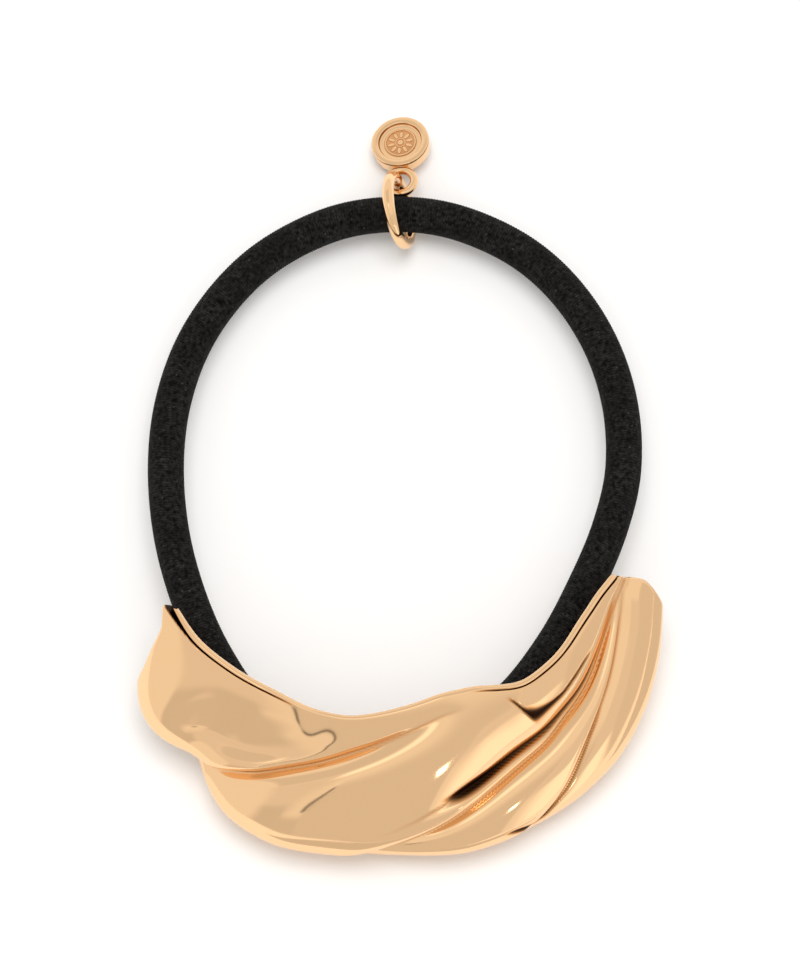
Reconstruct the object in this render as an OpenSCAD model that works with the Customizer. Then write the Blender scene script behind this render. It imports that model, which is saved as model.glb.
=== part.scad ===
// Hair tie: a closed round elastic with a polished twisted crescent at its front,
// and a small round charm on a ring at its far side. It lies flat, open side up.
// The crescent's centre is the centre of all azimuths: 0 is the front (-Y), + goes toward +X.

/* [Elastic] */
// Diameter of the covered elastic cord
cord_d = 4.5; // [3.5:0.1:4.6]
// Sides of the cord's tube
cord_sides = 10; // [8:2:12]
// Rings of the cord's tube along the whole loop
cord_rings = 60; // [48:2:80]

/* [Crescent] */
// Thickness of the metal
wall_t = 1.2; // [0.9:0.1:1.4]
// Share of the full depth that the folds have
relief = 1; // [0.5:0.05:1.1]
// Columns of the crescent's mesh, from its left end to its right end
columns = 80; // [40:2:80]
// Rows of the crescent's mesh, from its lip to its foot
rows = 34; // [22:1:34]

/* [Keepers] */
// Thickness of the wire of the two keepers behind the crescent
keeper_wire = 1.2; // [1:0.1:1.4]
// Gap between the cord and a keeper
keeper_gap = 0.3; // [0.2:0.05:0.4]

/* [Ring] */
// Outer diameter of the jump ring
ring_d = 10.1; // [9.9:0.1:10.3]
// Thickness of the jump ring's wire
ring_wire = 1.5; // [1.3:0.1:1.5]
// Lean of the jump ring from upright
ring_lean = 18; // [15:1:20]
// Turn of the jump ring about the vertical
ring_turn = 6; // [4:1:8]

/* [Charm] */
// Diameter of the charm's disc
charm_d = 7.4; // [7:0.1:7.4]
// Thickness of the charm's disc
charm_t = 1.9; // [1.7:0.05:1.9]
// Width of the charm's raised rim
charm_rim = 0.95; // [0.8:0.05:1.2]
// Depth of the charm's sunk face
charm_sink = 0.5; // [0.3:0.05:0.6]
// Inner diameter of the charm's eyelet
eyelet_hole = 2.45; // [2.4:0.05:2.6]
// Thickness of the eyelet's wire
eyelet_wire = 1.05; // [0.9:0.05:1.1]
// Distance from the eyelet's centre to the disc's centre
charm_reach = 5.7; // [5.6:0.1:5.9]
// Slope of the charm, whose far edge rests on the ground
charm_slope = 15; // [13:1:15]
// Roll of the charm about its long axis
charm_roll = 10; // [8:1:11]
// Turn of the charm about the vertical
charm_turn = 2; // [0:1:4]

/* [Hidden] */
rose_gold = [0.93, 0.74, 0.55];
cord_black = [0.08, 0.08, 0.08];
$fn = 64;

// The crescent's smooth envelope, a row for each section:
// azimuth, lip radius, lip height, belly radius, belly height, foot radius, foot height
SECTIONS = [
    [-60, 32.8, 15.0, 36.0, 10.4, 34.8, 7.6],
    [-54, 32.9, 15.2, 38.6,  9.6, 37.2, 6.6],
    [-50, 33.2, 15.4, 42.0,  8.4, 40.0, 5.6],
    [-46, 33.4, 15.5, 44.0,  7.6, 41.8, 5.0],
    [-42, 33.3, 15.6, 44.6,  7.0, 42.2, 4.4],
    [-38, 33.2, 15.7, 44.1,  6.4, 42.0, 3.6],
    [-35, 33.2, 15.8, 43.9,  5.8, 42.0, 2.6],
    [-32, 33.1, 15.9, 45.6,  5.4, 43.4, 1.0],
    [-26, 33.0, 16.0, 48.0,  5.2, 45.4, 0.0],
    [-18, 33.5, 16.1, 49.1,  5.2, 46.4, 0.0],
    [-10, 33.4, 16.3, 48.5,  5.2, 45.8, 0.0],
    [  0, 31.9, 16.5, 48.2,  5.2, 45.6, 0.0],
    [ 10, 30.5, 16.7, 48.7,  5.2, 45.9, 0.0],
    [ 18, 30.6, 16.7, 48.0,  5.2, 45.3, 0.0],
    [ 28, 32.4, 16.3, 46.8,  5.2, 44.2, 0.0],
    [ 38, 31.7, 16.1, 45.1,  5.4, 42.5, 0.0],
    [ 47, 30.4, 15.8, 42.5,  6.0, 40.1, 0.3],
    [ 55, 29.9, 15.4, 39.8,  7.2, 37.9, 1.6],
    [ 61, 30.2, 15.0, 37.6,  8.8, 36.0, 4.0],
    [ 66, 30.8, 14.6, 36.0, 10.0, 34.8, 6.0]
];
// The crescent's two end outlines: share of the way from lip to foot, first and last azimuth
ENDS = [
    [0.00, -53.4, 60.8],
    [0.05, -55.8, 61.4],
    [0.10, -56.9, 62.0],
    [0.15, -56.2, 62.6],
    [0.20, -54.4, 63.2],
    [0.27, -52.7, 63.8],
    [0.35, -52.4, 64.2],
    [0.45, -52.1, 63.8],
    [0.60, -51.0, 63.0],
    [1.00, -49.8, 61.5]
];
// The hollows that leave the folds standing between them, a row for each place along a hollow:
// azimuth, share of the way from lip to foot, depth
SCOOP = [
    [-43, 0.56, 0.0], [-39, 0.52, 0.4], [-35, 0.46, 1.2], [-31, 0.40, 1.8], [-25, 0.32, 2.0],
    [-16, 0.20, 1.7], [ -7, 0.13, 1.1], [  4, 0.08, 0.4], [ 11, 0.06, 0.0]
];
SCOOP_TUCK = [
    [-43, 0.98, 0.0], [-39, 0.90, 1.0], [-35, 0.80, 2.1], [-28, 0.54, 2.4], [-19, 0.34, 2.2],
    [ -9, 0.205, 1.7], [  1, 0.135, 1.0], [  9, 0.10, 0.4], [ 14, 0.09, 0.0]
];
CHANNEL = [
    [ -2, 0.62, 0.0], [  5, 0.53, 0.6], [ 10, 0.475, 1.2], [ 14, 0.445, 1.7], [ 18, 0.405, 2.0],
    [ 22, 0.36, 2.2], [ 27, 0.315, 2.2], [ 32, 0.285, 2.1], [ 41, 0.243, 1.7], [ 50, 0.19, 1.1],
    [ 59, 0.10, 0.3]
];
CHANNEL_TUCK = [
    [-12, 0.92, 0.2], [ -4, 0.76, 1.2], [  7, 0.625, 2.2], [ 14, 0.535, 2.5], [ 22, 0.435, 2.5],
    [ 32, 0.335, 2.4], [ 42, 0.28, 2.1], [ 52, 0.205, 1.5], [ 59, 0.14, 0.6]
];
BAND_VALLEY = [
    [ 14, 0.88, 0.0], [ 22, 0.75, 0.5], [ 26, 0.68, 0.8], [29.5, 0.594, 0.9], [ 33, 0.516, 1.0],
    [ 38, 0.436, 1.0], [ 44, 0.377, 0.9], [ 54, 0.26, 0.7], [ 60, 0.16, 0.3]
];
// Each hollow with its reach above and below its deepest line, whether its bottom is a sharp fold,
// and the part of its table's depth that it takes
HOLLOWS = [
    [SCOOP, 5.4, 2.2, false, 1],
    [SCOOP_TUCK, 1.3, 2.1, true, 1],
    [CHANNEL, 3.6, 1.2, true, 1],
    [CHANNEL_TUCK, 1.2, 1.4, true, 0.55],
    [CHANNEL_TUCK, 1.2, 5.0, true, 0.45],
    [BAND_VALLEY, 1.1, 1.8, true, 1]
];
// How rounded the bottom of a sharp fold is, as a distance
fold_rounding = 0.9;
// Fall of the surface at the lip, and how far each curve pulls toward its own end
lip_dip = 14;
lip_pull = 0.42;
belly_pull = 0.15;
// How far the curve from belly to foot pulls toward each of its ends, as shares of its drop
under_pull = 0.5;
foot_pull = [0.4, 0.25];
// Steps of the running mean that rounds the tables, in degrees and in shares
azimuth_step = 1.1;
share_step = 0.015;
// The back of the metal follows the folds more softly than its front, and less deeply
back_softness = 1.6;
back_relief = 0.85;
back_blend = 4;
// Distance each way over which the surface's slope is taken
slope_step = 0.4;
// Samples along the curve from lip to belly, and from belly to foot
belly_samples = 14;
foot_samples = 7;
// Length of metal per degree of azimuth, and of a section, as used for distances from the rim
degree_length = 0.7;
section_length = 24;
crescent_length = 80;

// The cord's route, measured from the crescent's centre: x, y, height
ROUTE = [
    [  0.0,  35.0, 4.4], [  7.5,  34.0, 4.3], [ 15.3,  30.4, 4.2], [ 21.2,  25.0, 4.4],
    [ 25.6,  17.8, 4.8], [ 28.0,   9.6, 5.5], [ 28.3,   1.0, 6.3], [ 26.6,  -6.6, 7.0],
    [ 23.6, -14.0, 7.6], [ 19.4, -22.0, 8.0], [ 13.8, -29.2, 8.2], [  6.4, -34.4, 8.2],
    [ -2.2, -36.4, 8.2], [-10.8, -35.0, 8.2], [-17.6, -30.4, 8.1], [-22.4, -23.6, 7.9],
    [-25.8, -16.0, 7.6], [-28.1,  -7.4, 7.0], [-28.9,   1.6, 6.3], [-28.1,  10.0, 5.5],
    [-25.5,  18.0, 4.8], [-21.0,  25.0, 4.4], [-15.3,  30.2, 4.2], [ -7.7,  33.9, 4.3]
];
cord_r = cord_d / 2;

// Each keeper: its place on the route, counted in route points, and where its post meets the
// crescent: azimuth, share of the way from lip to foot
KEEPERS = [
    [13.0, -17, 0.14],
    [11.0,  10, 0.22]
];
keeper_r = cord_r + keeper_gap + keeper_wire / 2;
keeper_segments = 12;
keeper_facets = 8;
post_tip = 0.8 * wall_t;

ring_r = (ring_d - ring_wire) / 2;
charm_r = charm_d / 2;
eyelet_r = (eyelet_hole + eyelet_wire) / 2;
charm_edge = 0.35;
face_r = charm_r - charm_rim;
// The charm's neck runs from the eyelet's wire into the disc by this much
neck_sink = 0.5;
// Where the jump ring stands, measured from the crescent's centre
ring_x = 0.25;
ring_y = 35.3;
// Where the charm hangs on the jump ring: angle above the ring's far side
link_angle = -19;
// The eyelet's centre lies this far to the right of the ring's wire, and this far beyond it
eyelet_aside = 0.2;
eyelet_away = 0.18;
wire_sides = 32;

// General functions
function clamped(x, low, high) = max(low, min(high, x));
function blend(x, low, high) =
    let (t = clamped((x - low) / (high - low), 0, 1)) t * t * (3 - 2 * t);
function pairs(table, column) = [for (row = table) [row[0], row[column]]];
function soft(table, x, step) =
    (lookup(x - 2 * step, table) + 4 * lookup(x - step, table) + 6 * lookup(x, table)
    + 4 * lookup(x + step, table) + lookup(x + 2 * step, table)) / 16;
function unit(v) = v / norm(v);
// Even shares from 0 to 1, with one more near each rim so that the rim comes out round
function stations(count, length) =
    let (first = 0.15 * wall_t / length, second = 0.55 * wall_t / length, last = count - 5)
    concat([0, first], [for (i = [0:last]) second + (1 - 2 * second) * i / last], [1 - first, 1]);
function bezier(p, t) =
    pow(1 - t, 3) * p[0] + 3 * pow(1 - t, 2) * t * p[1] + 3 * (1 - t) * t * t * p[2] + pow(t, 3) * p[3];
function running_sum(steps) = [for (i = 0, sum = 0; i <= len(steps);
    sum = sum + (i < len(steps) ? steps[i] : 0), i = i + 1) sum];

// The tables, split once into pairs of azimuth and value
section_pairs = [for (column = [1:6]) pairs(SECTIONS, column)];
hollow_pairs = [for (h = HOLLOWS) [pairs(h[0], 1), pairs(h[0], 2), h[1], h[2], h[3], h[4]]];
start_pairs = pairs(ENDS, 1);
end_pairs = pairs(ENDS, 2);

// One section of the envelope as radius and height, from lip to foot
function section(azimuth) =
    let (
        v = [for (column = section_pairs) soft(column, azimuth, azimuth_step)],
        lip = [v[0], v[1]],
        belly = [v[2], v[3]],
        foot = [v[4], v[5]],
        chord = norm(belly - lip),
        drop = belly - foot,
        lip_handle = lip + chord * lip_pull * [cos(lip_dip), -sin(lip_dip)],
        belly_handle = belly + [0, chord * belly_pull],
        under_handle = belly - [0, drop[1] * under_pull],
        foot_handle = foot + [drop[0] * foot_pull[0], drop[1] * foot_pull[1]]
    )
    concat(
        [for (i = [0:belly_samples - 1])
            bezier([lip, lip_handle, belly_handle, belly], i / belly_samples)],
        [for (i = [0:foot_samples])
            bezier([belly, under_handle, foot_handle, foot], i / foot_samples)]
    );

// Depth of all hollows at one azimuth and share of the way down a section of the given length
function hollow_depth(azimuth, share, length, softness) =
    relief * sum_of([for (h = hollow_pairs)
        let (
            gap = (share - soft(h[0], azimuth, azimuth_step)) * length,
            reach = (gap < 0 ? h[2] : h[3]) * softness,
            rounding = fold_rounding * softness,
            fall = h[4] ? (norm([gap, rounding]) - rounding) / reach : pow(gap / reach, 2)
        )
        h[5] * soft(h[1], azimuth, azimuth_step) * exp(-fall)
    ]);
function sum_of(v) = v * [for (i = v) 1];

// A point of the metal: front is true for its outer face, edge is its distance from the rim
function metal_point(azimuth, share, edge, front) =
    let (
        line = section(azimuth),
        lengths = running_sum([for (i = [1:len(line) - 1]) norm(line[i] - line[i - 1])]),
        length = lengths[len(line) - 1],
        along = share * length,
        radii = [for (i = [0:len(line) - 1]) [lengths[i], line[i][0]]],
        heights = [for (i = [0:len(line) - 1]) [lengths[i], line[i][1]]],
        low = max(0, along - slope_step),
        high = min(length, along + slope_step),
        way = unit([
            lookup(high, radii) - lookup(low, radii),
            lookup(high, heights) - lookup(low, heights)
        ]),
        outward = [-way[1], way[0]],
        half = wall_t / 2,
        round_off = edge < half ? half - sqrt(half * half - pow(half - edge, 2)) : 0,
        front_depth = hollow_depth(azimuth, share, length, 1),
        back_depth = back_relief * hollow_depth(azimuth, share, length, back_softness),
        depth = front ? front_depth + round_off
            : front_depth + (back_depth - front_depth) * blend(edge, 0, back_blend) + wall_t - round_off,
        radius = lookup(along, radii) - depth * outward[0],
        height = lookup(along, heights) - depth * outward[1]
    )
    [radius * sin(azimuth), -radius * cos(azimuth), height];

row_shares = stations(rows, section_length);
column_shares = stations(columns, crescent_length);
function first_azimuth(share) = soft(start_pairs, share, share_step);
function last_azimuth(share) = soft(end_pairs, share, share_step);
function grid_point(column, row, front) =
    let (
        share = row_shares[row],
        low = first_azimuth(share),
        high = last_azimuth(share),
        azimuth = low + (high - low) * column_shares[column],
        edge_down = min(share, 1 - share) * section_length,
        edge_across = min(azimuth - low, high - azimuth) * degree_length
    )
    metal_point(azimuth, share, max(0, min(edge_down, edge_across)), front);

front_points = [for (i = [0:columns - 1]) for (j = [0:rows - 1]) grid_point(i, j, true)];
back_points = [for (i = [1:columns - 2]) for (j = [1:rows - 2]) grid_point(i, j, false)];

// Numbers of the mesh's points: the two faces share the points along the rim
function front_index(i, j) = i * rows + j;
function back_index(i, j) =
    i == 0 || i == columns - 1 || j == 0 || j == rows - 1 ? front_index(i, j)
    : columns * rows + (i - 1) * (rows - 2) + j - 1;
cells = [for (i = [0:columns - 2]) for (j = [0:rows - 2]) [i, j]];
front_faces = [for (c = cells) let (i = c[0], j = c[1]) each [
    [front_index(i, j), front_index(i + 1, j), front_index(i, j + 1)],
    [front_index(i + 1, j), front_index(i + 1, j + 1), front_index(i, j + 1)]
]];
back_faces = [for (c = cells) let (i = c[0], j = c[1]) each [
    [back_index(i, j), back_index(i, j + 1), back_index(i + 1, j)],
    [back_index(i + 1, j), back_index(i, j + 1), back_index(i + 1, j + 1)]
]];

// The cord's centre line: a closed smooth curve through the route's points
function route_point(i) = ROUTE[(i + len(ROUTE)) % len(ROUTE)];
function cord_point(place) =
    let (
        i = floor(place),
        t = place - i,
        a = route_point(i - 1),
        b = route_point(i),
        c = route_point(i + 1),
        d = route_point(i + 2)
    )
    0.5 * (2 * b + (c - a) * t + (2 * a - 5 * b + 4 * c - d) * t * t + (3 * b - a - 3 * c + d) * pow(t, 3));
function cord_way(place) = unit(cord_point(place + 0.02) - cord_point(place - 0.02));
function cord_side(place) = unit(cross(cord_way(place), [0, 0, 1]));
// A point at the given distance from the cord's centre, at an angle about it
function around_cord(place, distance, angle) =
    let (side = cord_side(place), up = cross(side, cord_way(place)))
    cord_point(place) + distance * (cos(angle) * side + sin(angle) * up);
function tube_index(ring, side) = (ring % cord_rings) * cord_sides + side % cord_sides;

// The whole object stands on z = 0 with its bounding box centred on the origin
front_x = [for (p = front_points) p[0]];
front_y = [for (p = front_points) p[1]];
ground = min([for (p = concat(front_points, back_points)) p[2]]);
// The jump ring stands on the ground round the cord, and the charm's eyelet hangs on its far side
ring_centre = [ring_x, ring_y, ground + ring_r * cos(ring_lean) + ring_wire / 2];
ring_far = [-sin(ring_turn), cos(ring_turn), 0];
ring_top = [-sin(ring_lean) * cos(ring_turn), -sin(ring_lean) * sin(ring_turn), cos(ring_lean)];
link_point = ring_centre + ring_r * (cos(link_angle) * ring_far + sin(link_angle) * ring_top)
    + [eyelet_aside, eyelet_away, 0];
disc_y = link_point[1] + charm_reach * cos(charm_slope) * cos(charm_turn);
far_y = disc_y + charm_r * cos(charm_slope) + charm_t / 2 * sin(charm_slope);
origin_shift = [
    -(min(front_x) + max(front_x)) / 2,
    -(min(front_y) + far_y) / 2,
    -ground
];
module at_origin() translate(origin_shift) children();

// A keeper: a soldered eye round the cord, with a short post up to the metal
module keeper(place, azimuth, share) {
    post_foot = metal_point(azimuth, share, back_blend, true) * 0.5
        + metal_point(azimuth, share, back_blend, false) * 0.5;
    for (i = [0:keeper_segments - 1]) hull() for (k = [i, i + 1])
        translate(around_cord(place, keeper_r, k * 360 / keeper_segments))
            sphere(d = keeper_wire, $fn = keeper_facets);
    hull() {
        translate(around_cord(place, keeper_r, 90)) sphere(d = keeper_wire, $fn = keeper_facets);
        translate(post_foot) sphere(d = post_tip, $fn = keeper_facets);
    }
}

module ornament() color(rose_gold) at_origin() union() {
    polyhedron(concat(front_points, back_points), concat(front_faces, back_faces), convexity = 8);
    for (k = KEEPERS) keeper(k[0], k[1], k[2]);
}

module elastic_loop() color(cord_black) at_origin() {
    tube = [for (i = [0:cord_rings - 1]) for (k = [0:cord_sides - 1])
        around_cord(i * len(ROUTE) / cord_rings, cord_r, k * 360 / cord_sides)];
    faces = [for (i = [0:cord_rings - 1]) for (k = [0:cord_sides - 1]) each [
        [tube_index(i, k), tube_index(i, k + 1), tube_index(i + 1, k)],
        [tube_index(i + 1, k), tube_index(i, k + 1), tube_index(i + 1, k + 1)]
    ]];
    polyhedron(tube, faces, convexity = 8);
}

module wire_ring(radius, wire) rotate_extrude() translate([radius, 0]) circle(d = wire, $fn = wire_sides);

module jump_ring() color(rose_gold) at_origin()
    translate(ring_centre) rotate([0, 90 - ring_lean, ring_turn]) wire_ring(ring_r, ring_wire);

// The disc's outline from its axis outward, with a sunk face above and chamfered edges
module charm_disc() rotate_extrude() polygon([
    [0, -charm_t / 2],
    [charm_r - charm_edge, -charm_t / 2],
    [charm_r, -charm_t / 2 + charm_edge],
    [charm_r, charm_t / 2 - charm_edge],
    [charm_r - charm_edge, charm_t / 2],
    [face_r, charm_t / 2],
    [face_r - charm_edge, charm_t / 2 - charm_sink],
    [0, charm_t / 2 - charm_sink]
]);

module charm() color(rose_gold) at_origin()
    translate(link_point) rotate([-charm_slope, -charm_roll, charm_turn]) {
        wire_ring(eyelet_r, eyelet_wire);
        translate([0, charm_reach, 0]) charm_disc();
        translate([0, eyelet_r, 0]) rotate([-90, 0, 0])
            cylinder(d = eyelet_wire, h = charm_reach - charm_r + neck_sink - eyelet_r);
    }

ornament();
elastic_loop();
jump_ring();
charm();
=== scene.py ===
import math

import bpy
import numpy as np
from mathutils import Matrix, Vector


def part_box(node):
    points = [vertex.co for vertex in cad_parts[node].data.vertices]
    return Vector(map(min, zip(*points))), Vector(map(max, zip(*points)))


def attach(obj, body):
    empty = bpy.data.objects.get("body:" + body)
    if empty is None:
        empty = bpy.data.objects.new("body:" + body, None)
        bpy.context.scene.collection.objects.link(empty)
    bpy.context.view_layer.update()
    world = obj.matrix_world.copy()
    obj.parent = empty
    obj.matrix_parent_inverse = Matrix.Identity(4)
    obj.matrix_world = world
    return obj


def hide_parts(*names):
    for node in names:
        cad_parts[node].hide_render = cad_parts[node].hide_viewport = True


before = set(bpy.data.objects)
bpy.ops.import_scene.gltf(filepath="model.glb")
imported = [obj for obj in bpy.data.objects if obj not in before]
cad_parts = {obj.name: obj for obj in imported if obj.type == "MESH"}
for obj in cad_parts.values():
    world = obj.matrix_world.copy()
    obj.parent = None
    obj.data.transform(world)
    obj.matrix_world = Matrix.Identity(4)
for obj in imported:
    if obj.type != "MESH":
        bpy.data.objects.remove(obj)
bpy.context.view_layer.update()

# A hair tie that lies on a pale floor: a black covered elastic, a polished twisted crescent at its
# front, and a small charm on a jump ring at its far side.
# Sizes are in millimetres and angles in degrees, as in the part's own drawing; MM makes them metres.
MM = 0.001

# The photograph's view
view_elevation = 75.0
view_distance = 600.0
view_scale = 7.92
view_aside = 0.38
image_height = 978
sensor_size = 36.0

# Crescent: azimuth, lip radius, lip height, belly radius, belly height, foot radius, foot height
SECTIONS = [
    [-60, 32.8, 15.0, 36.0, 10.4, 34.8, 7.6],
    [-54, 32.9, 15.2, 38.6, 9.6, 37.2, 6.6],
    [-50, 33.2, 15.4, 42.0, 8.4, 40.0, 5.6],
    [-46, 33.4, 15.5, 44.0, 7.6, 41.8, 5.0],
    [-42, 33.3, 15.6, 44.6, 7.0, 42.2, 4.4],
    [-38, 33.2, 15.7, 44.1, 6.4, 42.0, 3.6],
    [-35, 33.2, 15.8, 43.9, 5.8, 42.0, 2.6],
    [-32, 33.1, 15.9, 45.6, 5.4, 43.4, 1.0],
    [-26, 33.0, 16.0, 48.0, 5.2, 45.4, 0.0],
    [-18, 33.5, 16.1, 49.1, 5.2, 46.4, 0.0],
    [-10, 33.4, 16.3, 48.5, 5.2, 45.8, 0.0],
    [0, 31.9, 16.5, 48.2, 5.2, 45.6, 0.0],
    [10, 30.5, 16.7, 48.7, 5.2, 45.9, 0.0],
    [18, 30.6, 16.7, 48.0, 5.2, 45.3, 0.0],
    [28, 32.4, 16.3, 46.8, 5.2, 44.2, 0.0],
    [38, 31.7, 16.1, 45.1, 5.4, 42.5, 0.0],
    [47, 30.4, 15.8, 42.5, 6.0, 40.1, 0.3],
    [55, 29.9, 15.4, 39.8, 7.2, 37.9, 1.6],
    [61, 30.2, 15.0, 37.6, 8.8, 36.0, 4.0],
    [66, 30.8, 14.6, 36.0, 10.0, 34.8, 6.0],
]
# The crescent's end outlines: share of the way from lip to foot, first azimuth, last azimuth
ENDS = [
    [0.00, -54.4, 60.8],
    [0.04, -55.2, 61.3],
    [0.08, -55.9, 61.8],
    [0.12, -57.0, 62.2],
    [0.16, -57.2, 62.7],
    [0.20, -55.9, 63.2],
    [0.26, -54.0, 63.7],
    [0.34, -53.2, 64.2],
    [0.45, -52.4, 63.8],
    [0.60, -51.0, 63.0],
    [1.00, -49.8, 61.5],
]
# Hollows between the folds, a row for each place along one: azimuth, share from lip to foot, depth
SCOOP = [
    [-43, 0.56, 0.0], [-39, 0.52, 0.4], [-35, 0.46, 1.2], [-31, 0.40, 1.8], [-25, 0.32, 2.0],
    [-16, 0.20, 1.7], [-7, 0.13, 1.1], [4, 0.08, 0.4], [11, 0.06, 0.0],
]
SCOOP_TUCK = [
    [-43, 0.98, 0.0], [-39, 0.90, 1.0], [-35, 0.80, 2.1], [-28, 0.54, 2.4], [-19, 0.34, 2.2],
    [-9, 0.205, 1.7], [1, 0.135, 1.0], [9, 0.10, 0.4], [14, 0.09, 0.0],
]
CHANNEL = [
    [-2, 0.62, 0.0], [5, 0.53, 0.6], [10, 0.475, 1.2], [14, 0.445, 1.7], [18, 0.405, 2.0],
    [22, 0.36, 2.2], [27, 0.315, 2.2], [32, 0.285, 2.1], [41, 0.243, 1.7], [50, 0.19, 1.1],
    [59, 0.10, 0.3],
]
CHANNEL_TUCK = [
    [-12, 0.92, 0.2], [-4, 0.76, 1.2], [7, 0.625, 2.2], [14, 0.535, 2.5], [22, 0.435, 2.5],
    [32, 0.335, 2.4], [42, 0.28, 2.1], [52, 0.205, 1.5], [59, 0.14, 0.6],
]
BAND_VALLEY = [
    [14, 0.88, 0.0], [22, 0.75, 0.5], [26, 0.68, 0.8], [29.5, 0.594, 0.9], [33, 0.516, 1.0],
    [38, 0.436, 1.0], [44, 0.377, 0.9], [54, 0.26, 0.7], [60, 0.16, 0.3],
]
# Each hollow with its reach above and below its deepest line, whether its bottom is a sharp fold,
# and the part of its table's depth that it takes
HOLLOWS = [
    (SCOOP, 5.4, 2.2, False, 1.0),
    (SCOOP_TUCK, 0.7, 2.0, True, 1.0),
    (CHANNEL, 3.6, 0.8, True, 1.0),
    (CHANNEL_TUCK, 0.5, 1.2, True, 0.55),
    (CHANNEL_TUCK, 0.6, 5.0, True, 0.45),
    (BAND_VALLEY, 0.35, 1.8, True, 1.0),
]
# The roundness at the bottom of a sharp fold
fold_rounding = 0.22
# The seam between the front sheet and the strip along the lip: azimuth, distance from the lip,
# half its width, depth; it opens at the left end
LIP_SEAM = [
    [-58, 0.88, 0.30, 1.00], [-55, 0.88, 0.29, 1.00], [-52, 0.88, 0.20, 0.80], [-48, 0.85, 0.11, 0.45],
    [-40, 0.80, 0.09, 0.30], [-28, 0.75, 0.08, 0.25], [-22, 0.70, 0.08, 0.00], [18, 0.70, 0.08, 0.00],
    [24, 0.75, 0.08, 0.25], [40, 0.80, 0.09, 0.30], [62, 0.85, 0.10, 0.35],
]
# Narrow dark gaps at the folds: azimuth, share from lip to foot, half its width, depth.
# The one at the foot of the right crest, the one along the channel's upper edge, and the lowest fold's
CREST_GAP = [
    [8.6, 0.484, 0.30, 0.0], [10.1, 0.474, 0.44, 0.34], [13, 0.450, 0.50, 0.32],
    [16, 0.425, 0.38, 0.29], [18, 0.407, 0.30, 0.26], [22, 0.363, 0.26, 0.20],
    [27, 0.317, 0.24, 0.16], [32, 0.287, 0.23, 0.14], [41, 0.244, 0.21, 0.10],
    [50, 0.190, 0.20, 0.0],
]
CHANNEL_EDGE = [
    [24.2, 0.080, 0.24, 0.0], [24.9, 0.100, 0.26, 0.20], [25.6, 0.133, 0.28, 0.24],
    [26.3, 0.165, 0.32, 0.26], [27.0, 0.190, 0.75, 0.30], [28.2, 0.194, 0.55, 0.28],
    [30.3, 0.192, 0.34, 0.26], [32.1, 0.192, 0.24, 0.24], [34.7, 0.190, 0.17, 0.22],
    [37.7, 0.173, 0.15, 0.18], [41.7, 0.163, 0.14, 0.12], [45.0, 0.165, 0.14, 0.0],
]
LOW_FOLD = [
    [16.5, 0.735, 0.14, 0.0], [18.3, 0.742, 0.28, 0.24], [19.6, 0.752, 0.34, 0.28],
    [21.1, 0.758, 0.28, 0.26], [22.9, 0.750, 0.18, 0.20], [25.3, 0.705, 0.14, 0.15],
    [27.4, 0.664, 0.13, 0.13], [31.5, 0.568, 0.13, 0.10], [35.1, 0.494, 0.13, 0.08],
    [42.0, 0.387, 0.13, 0.0],
]
wall_t = 1.2
# How the section's two curves leave the lip, the belly and the foot
lip_dip = 14.0
lip_pull = 0.42
belly_pull = 0.15
under_pull = 0.5
foot_pull = (0.4, 0.25)
# The hollows as they show on the back: how much wider, how deep, and how far in from the rim
back_softness = 1.6
back_relief = 0.85
back_blend = 4.0
# Rough lengths for spacing the mesh: a degree round the crescent, a section, the whole crescent
degree_length = 0.7
section_length = 24.0
crescent_length = 80.0
# Over how many degrees, or how large a share, the tables' corners are rounded
azimuth_ease = 1.9
hollow_ease = 1.4
share_ease = 0.018
gap_ease = 0.4
# The crescent's mesh: columns round it and rows from lip to foot, with those kept for each rounded
# rim, and those kept for the lip's seam, out to where they end
crescent_columns = 350
crescent_rows = 140
rim_steps = 6
seam_steps = 12
seam_rows_end = 1.4
# How dark a sharp fold is painted, as painted shade with some tarnish, and how far to each side; how
# fast a gap's painted shade and dark reflection deepens with its depth, and how much wider than the gap
# its darkness is
fold_shade_and_tarnish = 0.45
fold_shade_reach = 0.2
seam_shade_and_tarnish = 20.0
seam_shade_spread = 1.1

# The elastic's route from the crescent's centre, in millimetres: x, y, height
ROUTE = [
    [0.0, 35.0, 4.4], [7.5, 34.0, 4.3], [15.3, 30.4, 4.2], [21.2, 25.0, 4.4],
    [25.6, 17.8, 4.8], [28.0, 9.6, 5.5], [28.3, 1.0, 6.3], [26.6, -6.6, 7.0],
    [23.6, -14.0, 7.6], [19.4, -22.0, 8.0], [13.8, -29.2, 8.2], [6.4, -34.4, 8.2],
    [-2.2, -36.4, 8.2], [-10.8, -35.0, 8.2], [-17.6, -30.4, 8.1], [-22.4, -23.6, 7.9],
    [-25.8, -16.0, 7.6], [-28.1, -7.4, 7.0], [-28.9, 1.6, 6.3], [-28.1, 10.0, 5.5],
    [-25.5, 18.0, 4.8], [-21.0, 25.0, 4.4], [-15.3, 30.2, 4.2], [-7.7, 33.9, 4.3],
]
# The cord and its cover: ribs round the loop, wales along it, the mesh's steps in each, the depth
# between ribs and between wales, and how proud of the cord the cover stands
cord_d = 4.5
cord_ribs = 590
rib_steps = 4
cord_wales = 10
wale_steps = 4
rib_depth = 0.075
wale_depth = 0.03
cover_proud = 0.055

# Keepers: place on the route, counted in route points, and where the post meets the crescent
KEEPERS = [
    (13.0, -17.0, 0.14),
    (11.0, 10.0, 0.22),
]
keeper_wire = 1.2
keeper_gap = 0.3

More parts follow.
